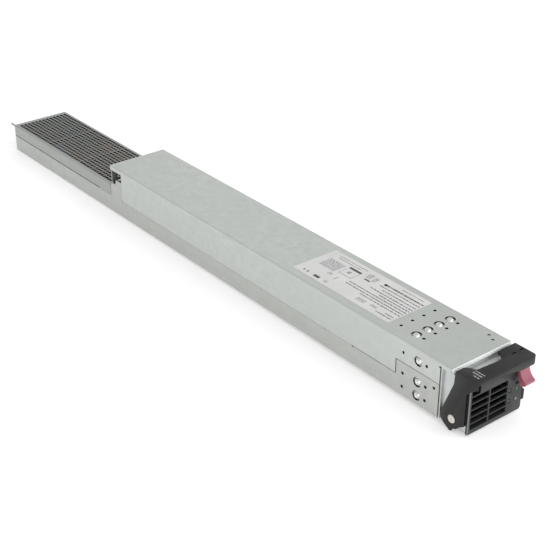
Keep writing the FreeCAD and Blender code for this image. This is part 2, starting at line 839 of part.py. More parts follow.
def front_bezel():
    """The moulded face: slotted plate, raised brow, side returns and a bottom lip."""
    low = -bezel_drop
    plate = front_shape(
        (-nose_half, low),
        [(nose_half - bezel_corner, low), (nose_half, low + bezel_corner),
         (nose_half, bezel_top), (-nose_half, bezel_top)],
        (bezel_front, nose_start))
    plate = plate.makeFillet(bezel_edge, upright_front_edges(plate))
    brow_left = grille_left + short_slot_width + brow_gap
    brow = block((brow_left, grille_right), (bezel_front - brow_rise, bezel_front),
                 (brow_bottom, bezel_top))
    pieces = [plate, brow]
    wall = nose_half - sheet
    depth = nose_start + bezel_return_depth
    for side in (-1, 1):
        edge = sorted((side * wall, side * (wall - bezel_return)))
        pieces.append(block(edge, (nose_start, depth), (sheet, bezel_top - 1)))
    pieces.append(block((-wall, wall), (nose_start, depth), (sheet, sheet + bezel_return)))
    bezel = joined(pieces)
    cuts = []
    deep = (bezel_front - 2, nose_start + 1)
    for column in grille_columns:
        for row in range(grille_rows):
            z = grille_bottom + row * grille_pitch
            cuts.append(block(column, deep, (z, z + grille_pitch - grille_bar)))
    short = grille_bottom + grille_rows * grille_pitch
    cuts.append(block((grille_columns[0][0], grille_columns[0][0] + short_slot_width), deep,
                      (short, short + short_slot_height)))
    for z in lens_heights:
        cuts.append(block((lens_x - lens_width / 2, lens_x + lens_width / 2), deep,
                          (z - lens_height / 2, z + lens_height / 2)))
    for z in icon_heights:
        cuts.append(block((icon_x - icon_width / 2, icon_x + icon_width / 2),
                          (deep[0], bezel_front + icon_depth),
                          (z - icon_height / 2, z + icon_height / 2)))
    cuts.append(block((latch_left - latch_recess_side, nose_half + 1),
                      (bezel_front - 1, bezel_front + latch_recess),
                      (latch_foot - latch_recess_below, bezel_top + 1)))
    middle = (latch_left + latch_right) / 2
    cuts.append(block((middle - hook_width / 2 - 0.6, middle + hook_width / 2 + 0.6), deep,
                      (hook_low - hook_room, hook_low + hook_height + 1)))
    return bezel.cut(cuts)


def upright_front_edges(plate):
    """The plate's two upright edges at the front."""
    return [edge for edge in plate.Edges
            if edge.BoundBox.YMax < bezel_front + 0.01 and edge.BoundBox.ZLength > brow_height]


def status_lens(z):
    """One light pipe, from just in front of the bezel back to the indicator board."""
    return block((lens_x - lens_width / 2, lens_x + lens_width / 2),
                 (bezel_front - lens_proud, bezel_front - lens_proud + lens_length),
                 (z - lens_height / 2, z + lens_height / 2))


def indicator_board():
    front = bezel_front - lens_proud + lens_length
    right = nose_half - sheet - bezel_return
    low = sheet + bezel_return
    return block((right - indicator_width, right), (front, front + board_thickness),
                 (low, low + indicator_height))


def contact_comb(across, dome, behind):
    """A flat comb in X and Y under a plate at Z 0: root strip with holes, fingers and domes."""
    low = -finger_gap - finger_thickness
    high = -finger_gap
    edge = finger_width / 2
    root = dome + behind
    reach = dome_radius + finger_tip
    pieces = [block((min(across) - edge, max(across) + edge),
                    (root - finger_root, root + finger_root), (low, high))]
    holes = []
    for x in across:
        pieces.append(block((x - edge, x + edge), (dome - reach, root), (low, high)))
        pieces += dome_cap(x, dome, high)
        holes.append(prism(x, root, low - 1, z_axis, small_hole_radius + small_hole_play,
                           finger_thickness + 2, 8))
    return joined(pieces).cut(holes)


def dome_cap(x, y, base):
    """A pressed dome that stands up through the plate's hole: two slopes and a small crown."""
    height = finger_gap + sheet + dome_height
    shoulder = height * dome_shoulder_share
    return [frustum(Vector(x, y, base), z_axis, dome_radius, dome_shoulder, shoulder, 12),
            frustum(Vector(x, y, base + shoulder), z_axis, dome_shoulder, dome_crown,
                    height - shoulder, 12)]


def contact_fingers_top():
    comb = contact_comb(top_dome_places, top_dome_y, top_hole_behind)
    comb.translate(Vector(0, 0, roof_under))
    return comb


def side_contact_comb():
    """The same comb turned on its side, with its plate facing the left wall."""
    comb = contact_comb(side_dome_heights, side_dome_y, side_hole_behind)
    comb.rotate(Vector(0, 0, 0), y_axis, -90)
    comb.translate(Vector(-inner, 0, 0))
    return comb


def rating_label():
    return block((label_left_border - half, half - label_right_border),
                 (label_start, label_end), (case_height, case_height + label_thickness))


def fan_bulkhead():
    """The sheet wall that carries the fan, with a round air opening."""
    side = inner - sheet
    wall_top = roof_under - finger_gap - finger_thickness - fan_wall_gap
    wall = block((-side, side), (fan_end, fan_end + sheet), (sheet, wall_top))
    fold = (fan_end, fan_end + fan_wall_fold)
    foot = block((-side, side), fold, (sheet, 2 * sheet))
    ears = [block(x, fold, (sheet, seam_height)) for x in ((-inner, -side), (side, inner))]
    cuts = [rod(0, fan_end - 1, fan_centre_z, y_axis, fan_bore, sheet + 2)]
    for x, z in fan_corners():
        cuts.append(prism(x, fan_end - 1, z, y_axis, fan_hole_radius, sheet + 2))
    return joined([wall, foot] + ears).cut(cuts)


def fan_corners():
    reach = fan_size / 2 - fan_hole_inset
    return [(sx * reach, fan_centre_z + sz * reach) for sx in (-1, 1) for sz in (-1, 1)]


def fan_frame():
    """The fan's square flanges, round duct and the stator held by four arms."""
    low = fan_centre_z - fan_size / 2
    flange = (-fan_size / 2, fan_size / 2)
    pieces = [block(flange, (y, y + fan_ring), (low, low + fan_size))
              for y in (fan_start, fan_end - fan_ring)]
    pieces.append(prism(0, fan_start, fan_centre_z, y_axis, fan_size / 2, fan_length, 24))
    duct = joined(pieces).cut(rod(0, fan_start - 1, fan_centre_z, y_axis, fan_bore,
                                  fan_length + 2))
    start = fan_middle - fan_stator_length / 2
    stator = prism(0, start, fan_centre_z, y_axis, fan_hub_radius, fan_stator_length, 16)
    reach = fan_bore + fan_duct_wall / 2
    arms = []
    for turn in (0, 90):
        arm = block((-reach, reach),
                    (fan_middle - fan_arm_depth / 2, fan_middle + fan_arm_depth / 2),
                    (-fan_arm_width / 2, fan_arm_width / 2))
        arm.rotate(Vector(0, 0, 0), y_axis, 45 + turn)
        arm.translate(Vector(0, 0, fan_centre_z))
        arms.append(arm)
    cuts = [rod(0, fan_start, fan_centre_z, y_axis, fan_shaft_radius, fan_length)]
    for x, z in fan_corners():
        cuts.append(prism(x, fan_end - fan_ring - 1, z, y_axis, fan_hole_radius, fan_ring + 2))
    return joined([duct, stator] + arms).cut(cuts)


def fan_rotor(start, hand):
    """A hub on the shaft with slanted blades, trimmed to a round tip."""
    hub = prism(0, start, fan_centre_z, y_axis, fan_hub_radius, fan_rotor_length, 20)
    chord = fan_rotor_length - fan_blade_rim
    middle = start + fan_rotor_length / 2
    pieces = [hub]
    tip = prism(0, start + fan_blade_rim / 4, fan_centre_z, y_axis, fan_blade_tip,
                fan_rotor_length - fan_blade_rim / 2, 30)
    for count in range(fan_blades):
        blade = block((fan_hub_radius - 1, fan_blade_tip + 1), (-chord / 2, chord / 2),
                      (-fan_blade_thickness / 2, fan_blade_thickness / 2))
        blade.rotate(Vector(0, 0, 0), x_axis, hand * fan_blade_pitch)
        blade.rotate(Vector(0, 0, 0), y_axis, count * 360 / fan_blades)
        blade.translate(Vector(0, middle, fan_centre_z))
        pieces.append(blade.common(tip))
    bore = rod(0, start - 1, fan_centre_z, y_axis, fan_shaft_radius + fan_shaft_play,
               fan_rotor_length + 2)
    return joined(pieces).cut(bore)


def fan_shaft():
    length = fan_stator_length + 2 * (fan_rotor_length + fan_end_gap) - 1
    return rod(0, fan_middle - length / 2, fan_centre_z, y_axis, fan_shaft_radius, length)


def fan_screws():
    """Four screws from the rear of the bulkhead into the fan's corners."""
    screws = []
    for x, z in fan_corners():
        shank = prism(x, fan_end - fan_ring, z, y_axis, fan_screw_radius, fan_ring + sheet)
        head = prism(x, fan_end + sheet, z, y_axis, fan_screw_head, fan_screw_head_height)
        screws.append(joined([shank, head]))
    return group(screws)


def standoff_places(rows):
    return [(x, y) for x in (-standoff_x, standoff_x) for y in rows]


def standoffs(rows, top):
    pieces = [prism(x, y, sheet, z_axis, standoff_radius, top - sheet)
              for x, y in standoff_places(rows)]
    return group(pieces)


def board_screws():
    places = [(x, y, board_top) for x, y in standoff_places(standoff_rows)]
    places += [(x, y, rear_board_top) for x, y in standoff_places(rear_standoff_rows)]
    return group([prism(x, y, z, z_axis, screw_head_radius, screw_head_height)
                  for x, y, z in places])


def insulator_sheet():
    plate = block((-board_half, board_half), (board_start - 2, board_end + 2),
                  (sheet, sheet + insulator))
    room = 2 * (standoff_radius + insulator_room)
    cuts = [centred_block((room, room, 5), x, y, 0) for x, y in standoff_places(standoff_rows)]
    return plate.cut(cuts)


def main_board():
    return block((-board_half, board_half), (board_start, board_end), (board_floor, board_top))


def rear_board():
    return block((-board_half, board_half), (rear_board_start, rear_board_end),
                 (rear_board_floor, rear_board_top))


def bulk_capacitors():
    return group([prism(x, y, board_top, z_axis, bulk_radius, bulk_height, 16)
                  for x in (-bulk_x, bulk_x) for y in bulk_rows])


def toroid(x, y, floor, outer, bore, height):
    """A wound ring that lies flat, with twelve flat sides."""
    body = prism(x, y, floor, z_axis, outer, height, 12)
    return body.cut(prism(x, y, floor, z_axis, bore, height, 12))


def boost_choke():
    return toroid(0, choke_y, board_top, choke_outer, choke_inner, choke_height)


def heat_sink(side):
    """An extruded comb: an upright plate with fins towards the case wall."""
    plate = sorted((side * sink_x, side * (sink_x - sink_base)))
    fins = sorted((side * sink_x, side * (sink_x + sink_fin_reach)))
    pieces = [block(plate, (sink_start, sink_end), (board_top, board_top + sink_height))]
    gap = (sink_height - sink_fin) / (sink_fins - 1)
    for count in range(sink_fins):
        z = board_top + count * gap
        pieces.append(block(fins, (sink_start, sink_end), (z, z + sink_fin)))
    return joined(pieces)


def power_transistors():
    """A row on the inner face of each heat sink."""
    low = board_top + transistor_lift
    pieces = []
    for side in (-1, 1):
        face = side * (sink_x - sink_base)
        x = sorted((face, face - side * transistor_size[0]))
        for y in transistor_rows:
            pieces.append(block(x, (y - transistor_size[1] / 2, y + transistor_size[1] / 2),
                                (low, low + transistor_size[2])))
    return group(pieces)


def transformer_cores():
    """Two cores: a block with a window each side of its middle limb."""
    cores = []
    for y in transformer_rows:
        core = centred_block((core_width, core_depth, core_height), 0, y, board_top)
        window = centred_block((core_width - 2 * core_leg, core_depth, winding_height), 0, y,
                               board_top + core_plate)
        cores.append(core.cut(window.cut(core_limb(y))))
    return group(cores)


def core_limb(y):
    return centred_block((core_limb_width, core_depth, core_height), 0, y, board_top)


def transformer_windings():
    """Square coils about the middle limbs, between the cores' top and bottom plates."""
    coils = []
    for y in transformer_rows:
        coil = centred_block((winding_width, winding_depth, winding_height), 0, y,
                             board_top + core_plate)
        coils.append(coil.cut(core_limb(y)))
    return group(coils)


def output_choke():
    """A squat core with one wide window through it."""
    core = centred_block(output_choke_size, 0, output_choke_y, board_top)
    window_width, window_height = output_window_size
    floor = board_top + (output_choke_size[2] - window_height) / 2
    window = centred_block((window_width, output_choke_size[1] + 2, window_height), 0,
                           output_choke_y, floor)
    return core.cut(window)


def output_capacitors():
    return group([prism(x, y, board_top, z_axis, smoothing_radius, smoothing_height, 8)
                  for x in smoothing_places for y in smoothing_rows])


def control_board():
    """A small upright board at the right, with its socket strip on the main board."""
    board = block((control_x, control_x + board_thickness), (control_start, control_end),
                  (board_top, board_top + control_height))
    strip = block((control_x - control_strip_front,
                   control_x + board_thickness + control_strip_back),
                  (control_start + control_strip_inset, control_end - control_strip_inset),
                  (board_top, board_top + control_strip_height))
    return joined([board, strip])


def bus_bar(side):
    """A copper bar from the main board, stepping down to the rear connector."""
    wide = sorted((side * bus_middle_gap / 2, side * bus_outer))
    foot = block(wide, (bus_start, bus_start + bus_thickness), (board_top, bus_top))
    run = block(wide, (bus_start, connector_start), (bus_floor, bus_top))
    return joined([foot, run])


def bus_bars():
    return group([bus_bar(side) for side in (-1, 1)])


def filter_chokes():
    x = filter_outer + filter_edge - board_half
    return group([toroid(x, y, bus_top, filter_outer, filter_inner, filter_height)
                  for y in filter_rows])


def filter_capacitors():
    x = board_half - film_size[0] / 2
    return group([centred_block(film_size, x, y, rear_board_top) for y in film_rows])


def line_relay():
    x = relay_size[0] / 2 + relay_edge - board_half
    return centred_block(relay_size, x, relay_y, rear_board_top)


def line_fuse():
    """A ceramic fuse between two clips."""
    x = board_half - fuse_radius - fuse_edge
    z = rear_board_top + fuse_radius + fuse_lift
    barrel = prism(x, fuse_y - fuse_length / 2, z, y_axis, fuse_radius, fuse_length, 8)
    pieces = [barrel]
    for middle in (fuse_y - fuse_clip_spread, fuse_y + fuse_clip_spread):
        pieces.append(block((x - fuse_radius, x + fuse_radius),
                            (middle - fuse_clip / 2, middle + fuse_clip / 2),
                            (rear_board_top, z)))
    return joined(pieces)


def signal_places():
    places = []
    for row in range(signal_rows):
        for column in range(signal_columns):
            x = (column - (signal_columns - 1) / 2) * signal_pitch
            z = (connector_floor + connector_top) / 2 + (row - 0.5) * signal_pitch
            places.append((x, z))
    return places


def blade_height():
    middle = (connector_floor + connector_top) / 2
    return (middle - blade_slot_height / 2, middle + blade_slot_height / 2)


def rear_connector():
    """The housing at the rear, with narrow mouths for blades and round ones for pins."""
    rear = case_end + connector_proud
    body = block((-connector_half, connector_half), (connector_start, rear),
                 (connector_floor, connector_top))
    cuts = []
    for x in blade_places:
        cuts.append(block((x - blade_slot_width / 2, x + blade_slot_width / 2),
                          (rear - blade_depth, rear + 1), blade_height()))
    for x, z in signal_places():
        cuts.append(block((x - signal_hole, x + signal_hole), (rear - signal_depth, rear + 1),
                          (z - signal_hole, z + signal_hole)))
    return body.cut(cuts)


def connector_blades():
    """Spring blades lying in the housing's narrow mouths, each against its mouth's left face."""
    rear = case_end + connector_proud
    low, high = blade_height()
    pieces = []
    for x in blade_places:
        left = x - blade_slot_width / 2
        pieces.append(block((left, left + blade_thickness),
                            (rear - blade_depth, rear - blade_recess), (low, high)))
    return group(pieces)


def signal_pins():
    rear = case_end + connector_proud
    return group([block((x - signal_pin, x + signal_pin),
                        (rear - signal_depth, rear - blade_recess),
                        (z - signal_pin, z + signal_pin)) for x, z in signal_places()])


def save(name, shape):
    if not shape.isValid():
        print("not valid:", name)
    print(name, len(shape.Solids), "solid(s)", round(shape.Volume / 1000, 2), "cm3")
    shape.exportStep("parts/" + name + ".step")


def main():
    os.makedirs("parts", exist_ok=True)
    stator_end = fan_middle + fan_stator_length / 2
    stator_start = fan_middle - fan_stator_length / 2
    left_comb = side_contact_comb()
    save("base_tray", base_tray())
    save("top_cover", top_cover())
    save("rear_cover", rear_cover())
    save("rear_bulkhead", rear_bulkhead())
    save("front_bracket", front_bracket())
    save("front_bezel", front_bezel())
    save("handle", handle())
    save("handle_pivots", handle_pivots())
    save("release_latch", release_latch())
    save("latch_pin", latch_pin())
    save("latch_spring", latch_spring())
    save("status_lens_green", status_lens(lens_heights[0]))
    save("status_lens_amber", status_lens(lens_heights[1]))
    save("indicator_board", indicator_board())
    save("contact_fingers_top", contact_fingers_top())
    save("contact_fingers_left", left_comb)
    save("contact_fingers_right", mirrored(left_comb))
    save("rating_label", rating_label())
    save("fan_bulkhead", fan_bulkhead())
    save("fan_frame", fan_frame())
    save("fan_rotor_front", fan_rotor(stator_start - fan_end_gap - fan_rotor_length, 1))
    save("fan_rotor_rear", fan_rotor(stator_end + fan_end_gap, -1))
    save("fan_shaft", fan_shaft())
    save("fan_screws", fan_screws())
    save("insulator_sheet", insulator_sheet())
    save("board_standoffs", standoffs(standoff_rows, board_floor))
    save("main_board", main_board())
    save("board_screws", board_screws())
    save("bulk_capacitors", bulk_capacitors())
    save("boost_choke", boost_choke())
    save("heat_sink_left", heat_sink(-1))
    save("heat_sink_right", heat_sink(1))
    save("power_transistors", power_transistors())
    save("transformer_cores", transformer_cores())
    save("transformer_windings", transformer_windings())
    save("output_choke", output_choke())
    save("output_capacitors", output_capacitors())
    save("control_board", control_board())
    save("rear_board", rear_board())
    save("rear_standoffs", standoffs(rear_standoff_rows, rear_board_floor))
    save("bus_bars", bus_bars())
    save("filter_chokes", filter_chokes())
    save("filter_capacitors", filter_capacitors())
    save("line_relay", line_relay())
    save("line_fuse", line_fuse())
    save("rear_connector", rear_connector())
    save("connector_blades", connector_blades())
    save("signal_pins", signal_pins())


main()
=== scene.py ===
import bmesh
import bpy
import json
import math
import random
from mathutils import Matrix, Vector


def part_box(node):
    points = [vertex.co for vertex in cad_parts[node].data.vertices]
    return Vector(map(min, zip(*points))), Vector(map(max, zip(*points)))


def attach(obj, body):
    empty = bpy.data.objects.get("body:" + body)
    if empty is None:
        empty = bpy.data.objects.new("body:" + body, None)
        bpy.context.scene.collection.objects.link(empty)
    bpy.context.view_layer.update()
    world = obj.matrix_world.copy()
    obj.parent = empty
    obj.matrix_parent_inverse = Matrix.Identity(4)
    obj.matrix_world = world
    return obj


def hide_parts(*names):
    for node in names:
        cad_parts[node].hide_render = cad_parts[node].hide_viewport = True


# The looks of a long hot swap power supply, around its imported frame. Metres, in the row frame.

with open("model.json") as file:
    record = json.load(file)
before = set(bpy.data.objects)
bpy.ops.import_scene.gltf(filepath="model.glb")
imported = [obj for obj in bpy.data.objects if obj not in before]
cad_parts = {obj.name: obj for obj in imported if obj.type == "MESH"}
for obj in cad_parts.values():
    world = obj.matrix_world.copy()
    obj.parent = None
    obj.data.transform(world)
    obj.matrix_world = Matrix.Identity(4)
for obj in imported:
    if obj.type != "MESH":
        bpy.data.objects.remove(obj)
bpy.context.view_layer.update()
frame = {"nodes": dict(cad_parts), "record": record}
mm = 0.001
to_left = Matrix.Rotation(math.radians(-90), 4, "Y")

# Places on the frame that the looks follow
case_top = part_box("top_cover")[1].z
case_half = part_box("base_tray")[1].x
case_end = 731.0 * mm
sheet = 0.8 * mm
inner = case_half - sheet
roof_under = case_top - sheet
roof_end = 514.0 * mm
rear_roof = 32.0 * mm
label_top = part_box("rating_label")[1].z
nose_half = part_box("front_bezel")[1].x
nose_top = 48.5 * mm

# Vent holes of the rear cover, and the bars between them
vent_first = 520.3 * mm
vent_pitch = 4.9 * mm
vent_hole = 3.8 * mm
vent_rows = 13
vent_columns = 42
vents_joined = 14
web_width = 0.8 * mm
web_drop = 0.1 * mm

# Painted shade inside the sheets, painted highlights on bends, and the bezel's edge painted paler
# as a highlight
far = 1.0
edge_skin = 0.05 * mm
painted_shade_skin = 0.55 * mm
bend_room = 2.0 * mm
base_shade_end = 490.0 * mm
base_shade_top = 45.0 * mm
nose_shade_front = -15.5 * mm
painted_shade_dark = (0.012, 0.012, 0.013)
painted_shade_light = (0.022, 0.022, 0.023)
# Painted highlight on the front lips: how deep and from what height the band runs, and its colour
lip_depth = 0.3 * mm
lip_foot = 50.8 * mm
painted_highlight_colour = (0.88, 0.91, 0.92)
# Painted highlight on the bezel's rounded left edge: its limits, and how many times paler it is
# painted
bezel_edge = 1.1 * mm - nose_half
bezel_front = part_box("front_bezel")[0].y + 1.3 * mm
edge_highlight_gain = 6.0

# Spring fingers
finger_gap = 0.3 * mm
finger_thickness = 0.5 * mm
finger_width = 7.4 * mm
finger_root = 3.5 * mm
finger_reach = 4.2 * mm
dome_radius = 3.6 * mm
dome_height = 1.3 * mm
dome_rings = 10
flare_outer = 0.5 * mm
flare_inner = 0.15 * mm
flare_rise = 0.12 * mm
top_dome_y = 57.0 * mm
top_root_y = 75.5 * mm
top_dome_places = (-20.0 * mm, -6.7 * mm, 6.7 * mm, 20.0 * mm)
side_dome_y = 38.4 * mm
side_root_y = 56.0 * mm
side_dome_heights = (9.3 * mm, 22.7 * mm, 43.1 * mm)

# Rivets: place, and a profile of radius and height in millimetres, from dimple to tail
rivet_face = 35.1 * mm
pivot_y = -2.7 * mm
pivot_z = 8.2 * mm
rivet_profile = ((0.0, 0.45), (0.7, 0.5), (1.0, 0.85), (2.2, 0.9), (3.1, 0.72), (3.7, 0.35),
                 (3.9, 0.0), (2.5, 0.0), (2.5, -3.7), (3.6, -3.7), (3.6, -4.5), (0.0, -4.5))

# Icon recesses of the bezel, each with a plate of painted shade and three bars
icon_x = 16.4 * mm
icon_heights = (22.4 * mm, 12.1 * mm)
icon_size = (3.2 * mm, 4.2 * mm)
icon_floor = -17.8 * mm
plate_front = 0.06 * mm
plate_back = 0.05 * mm
bar_pitch = 0.9 * mm
bar_half = 0.24 * mm
bar_rise = 0.2 * mm
bar_heights = (1.6 * mm, 2.6 * mm, 1.6 * mm)

# Pressed marks: place and radius, and profiles as shares of the mark's radius and rise
blister = ((1.0, 0.0), (0.8, 0.55), (0.5, 0.9), (0.0, 1.0))
ring = ((1.0, 0.0), (0.85, 0.9), (0.7, 1.0), (0.55, 0.6), (0.4, 0.15), (0.0, 0.1))
weld_rise = 0.4 * mm
mark_rise = 0.3 * mm
roof_welds = (((11.0 * mm, 6.5 * mm, case_top), 1.5 * mm),
              ((-24.5 * mm, 6.5 * mm, case_top), 1.5 * mm))
wall_marks = (((-case_half, 281.0 * mm, 25.0 * mm), 3.2 * mm),
              ((-case_half, 471.0 * mm, 24.5 * mm), 4.4 * mm),
              ((-case_half, 18.6 * mm, 43.4 * mm), 2.4 * mm))
base_marks = (((-case_half, 79.0 * mm, 11.4 * mm), 2.4 * mm),
              ((-case_half, 105.0 * mm, 11.4 * mm), 2.4 * mm))

# Side seam: spots of painted shade for its relief holes, as place along Y, height and radius, and
# flanges inside the rear section, which show as painted shade
relief_places = ((119.0 * mm, 18.6 * mm, 0.85 * mm), (157.0 * mm, 18.9 * mm, 0.5 * mm),
                 (492.2 * mm, 19.0 * mm, 0.8 * mm))
relief_foot = -0.05 * mm
relief_rim = 0.02 * mm
relief_crown = 0.03 * mm
flange_start = 518.0 * mm
flange_low = 17.9 * mm
flange_high = 20.4 * mm
flange_sheet = 0.3 * mm

# Turned forms: steps round them, and the radius below which a ring is one point
fine_steps = 40
mark_steps = 28
relief_steps = 16
point_radius = 1e-7

# Softened edges
handle_softening = 0.45 * mm
latch_softening = 0.35 * mm
bezel_softening = 0.25 * mm
softening_segments = 2
merge_distance = 1e-6
flat_angle = math.radians(1)
sharp_angle = math.radians(35)

# Print. Rows and blocks are in millimetres.
label_seed = 7
handle_seed = 3
print_rise = 0.02 * mm
dash_lengths = (0.7, 3.4)
dash_spaces = (0.45, 0.9)
panel_pitch = 1.6
panel_ink = 0.62

# Rows of dashes: place across, start and end along Y, height
label_rows = ((22.9, 92, 119, 0.8), (17.5, 87, 136, 2.0), (12.9, 87, 138, 1.2),
              (8.4, 87, 130, 1.2), (4.0, 87, 141, 1.2), (0.3, 87, 126, 1.2),
              (-3.4, 87, 161, 1.2), (-7.3, 87, 161, 1.2), (-11.0, 87, 138, 1.2),
              (-17.0, 88, 99, 1.1), (-20.6, 88, 107, 1.1), (22.0, 164, 202, 0.8),
              (18.6, 170, 200, 0.8))
handle_rows = ((-21.8, -22.4, -12.5, 1.3), (-24.9, -22.4, -12.5, 1.3),
               (-28.2, -22.4, -16.0, 1.3))

# Blocks: middle across, middle along Y, width, length. Pale ones are hatched with dashes.
dark_blocks = ((14.1, 171.5, 3.0, 15.7), (10.1, 151.8, 1.9, 7.0), (17.3, 134.5, 3.0, 3.6),
               (-20.6, 186.0, 3.4, 7.6), (-20.4, 198.5, 2.6, 1.6), (-20.4, 203.5, 2.6, 1.6),
               (6.9, 171.5, 4.2, 1.0), (6.9, 173.4, 4.2, 1.0))
pale_blocks = ((6.0, 163.6, 11.0, 0.9), (6.0, 179.6, 11.0, 0.9), (0.3, 171.5, 0.9, 16.0),
               (5.0, 194.0, 16.0, 21.0), (-20.6, 173.5, 4.2, 4.4), (16.0, 147.0, 8.0, 4.6),
               (17.0, 155.0, 8.0, 5.6), (-9.0, 172.5, 6.0, 1.8), (-7.6, 182.5, 4.8, 4.8),
               (-17.0, 114.0, 3.6, 8.0), (-18.0, 129.0, 5.0, 11.0))

# Camera
camera_at = (-0.6797, -0.5803, 0.6134)
camera_aim = (-0.01313, 0.2559, 0.02336)
camera_lens = 83.28
camera_sensor = 36.0

# Light: the world's strength, and lamps as name, place, aim, size and power in watts
world_strength = 0.785
lamps = (("side", (-1.1, -1.0, 0.45), (0, 0.1, 0.03), (1.0, 1.0), 3.0),
         ("front", (0.6, -1.4, 0.85), (0, 0.0, 0.03), (3.0, 2.4), 24),
         ("rear", (1.2, 1.9, 1.1), (0, 0.45, 0.05), (0.8, 0.8), 0.8))

# Floor, through a point just under the cam teeth and one just under the case's rear end
floor_front = Vector((0.0, -2.4, -4.05)) * mm
floor_rear = Vector((0.0, 731.0, -0.05)) * mm
floor_reach = 6.0
floor_low = (0.93, 0.93, 0.93)
floor_high = (0.95, 0.95, 0.95)
floor_glow = 0.26
white = (1.0, 1.0, 1.0, 1.0)


# Node helpers
class Graph:
    """A new material with short names for its nodes."""

    pattern_low = 0.3
    pattern_high = 0.7

    def __init__(self, name):
        self.material = bpy.data.materials.new(name)
        self.material.use_nodes = True
        self.tree = self.material.node_tree
        self.shader = self.tree.nodes["Principled BSDF"]
        self.place = self.tree.nodes.new("ShaderNodeTexCoord").outputs["Object"]

    def set(self, **values):
        for name, value in values.items():
            self.shader.inputs[name.replace("_", " ")].default_value = value

    def link(self, source, target):
        self.tree.links.new(source, target)

    def scaled(self, scale):
        node = self.tree.nodes.new("ShaderNodeMapping")
        node.inputs["Scale"].default_value = scale
        self.link(self.place, node.inputs["Vector"])
        return node.outputs["Vector"]

    def noise(self, scale, detail=3.0, stretch=None):
        node = self.tree.nodes.new("ShaderNodeTexNoise")
        node.inputs["Scale"].default_value = scale
        node.inputs["Detail"].default_value = detail
        self.link(self.scaled(stretch) if stretch else self.place, node.inputs["Vector"])
        return node.outputs["Fac"]

    def cells(self, scale):
        node = self.tree.nodes.new("ShaderNodeTexVoronoi")
        node.inputs["Scale"].default_value = scale
        self.link(self.place, node.inputs["Vector"])
        split = self.tree.nodes.new("ShaderNodeSeparateColor")
        self.link(node.outputs["Color"], split.inputs["Color"])
        return split.outputs["Red"]

    def wave(self, scale, distortion, detail):
        node = self.tree.nodes.new("ShaderNodeTexWave")
        node.inputs["Scale"].default_value = scale
        node.inputs["Distortion"].default_value = distortion
        node.inputs["Detail"].default_value = detail
        self.link(self.place, node.inputs["Vector"])
        return node.outputs["Fac"]

    def spread(self, source, low, high):
        """Maps the middle of a pattern onto a low and a high value."""
        node = self.tree.nodes.new("ShaderNodeMapRange")
        node.inputs["From Min"].default_value = self.pattern_low
        node.inputs["From Max"].default_value = self.pattern_high
        node.inputs["To Min"].default_value = low
        node.inputs["To Max"].default_value = high
        self.link(source, node.inputs["Value"])
        return node.outputs["Result"]

    def math(self, kind, first, second=None):
        node = self.tree.nodes.new("ShaderNodeMath")
        node.operation = kind
        for socket, value in zip(node.inputs, (first, second)):
            if value is None:
                continue
            if isinstance(value, (int, float)):
                socket.default_value = value
            else:
                self.link(value, socket)
        return node.outputs["Value"]

    def within(self, source, low, high):
        return self.math("MULTIPLY", self.math("GREATER_THAN", source, low),
                         self.math("LESS_THAN", source, high))

    def blend(self, factor, low, high):
        node = self.tree.nodes.new("ShaderNodeMix")
        node.data_type = "RGBA"
        self.link(factor, node.inputs["Factor"])
        for socket, value in ((node.inputs["A"], low), (node.inputs["B"], high)):
            if isinstance(value, tuple):
                socket.default_value = (*value, 1.0)
            else:
                self.link(value, socket)
        return node.outputs["Result"]

    def axis(self, name):
        node = self.tree.nodes.new("ShaderNodeSeparateXYZ")
        self.link(self.place, node.inputs["Vector"])
        return node.outputs[name]

    def colour(self, source):
        self.link(source, self.shader.inputs["Base Color"])

    def rough(self, source):
        self.link(source, self.shader.inputs["Roughness"])

    def bump(self, height, strength, distance):
        node = self.tree.nodes.new("ShaderNodeBump")
        node.inputs["Strength"].default_value = strength
        node.inputs["Distance"].default_value = distance
        self.link(height, node.inputs["Height"])
        self.link(node.outputs["Normal"], self.shader.inputs["Normal"])


def shade(colour, factor):
    return tuple(min(1.0, c * factor) for c in colour)


def tones(colour, change):
    """A darker and a lighter tone of one colour."""
    return shade(colour, 1 - change), shade(colour, 1 + change)


# Kinds of finish
def zinc(name, colour, roughness, metallic, painted_shade_boxes=(), lip_highlight=None):
    """Zinc coated sheet: faint crystal patches and clouds, long roll marks and a fine grain.

    Each painted shade box is a half width, a front, a rear, a floor and a roof: what lies within
    one, the sheet's inner face or a cut edge, is painted near black as shade. The lip highlight
    is an axis and its low and high ends, between which the coat is painted near white and not
    metallic.
    """
    g = Graph(name)
    low, high = tones(colour, change=0.05)
    patches = g.blend(g.cells(scale=160), low, high)
    clouds = g.spread(g.noise(scale=9, detail=4), low=0.0, high=1.0)
    coat = g.blend(clouds, patches, shade(colour, factor=0.97))
    g.set(Metallic=metallic)
    # Painted highlight: within the band the coat is painted near white and not metallic, standing
    # in for light caught by the bent edge
    if lip_highlight:
        axis, low_end, high_end = lip_highlight
        highlight_band = g.within(g.axis(axis), low_end, high_end)
        coat = g.blend(highlight_band, coat, painted_highlight_colour)
        plain = g.math("SUBTRACT", 1.0, highlight_band)
        g.link(g.math("MULTIPLY", plain, metallic), g.shader.inputs["Metallic"])
    # Painted shade: a point inside a box takes the near black colour, standing in for the shade
    # inside the case and on hole walls
    if painted_shade_boxes:
        film = g.blend(g.noise(scale=300, detail=3), painted_shade_dark, painted_shade_light)
        for wide, front, rear, floor, roof in painted_shade_boxes:
            across = g.math("LESS_THAN", g.math("ABSOLUTE", g.axis("X")), wide)
            along = g.within(g.axis("Y"), front, rear)
            upright = g.within(g.axis("Z"), floor, roof)
            inside = g.math("MULTIPLY", across, g.math("MULTIPLY", along, upright))
            coat = g.blend(inside, coat, film)
    g.colour(coat)
    roll_marks = g.noise(scale=60, detail=5, stretch=(8, 1, 8))
    g.rough(g.spread(roll_marks, low=roughness - 0.06, high=roughness + 0.08))
    g.bump(g.noise(scale=900, detail=2), strength=0.12, distance=0.00005)
    return g.material


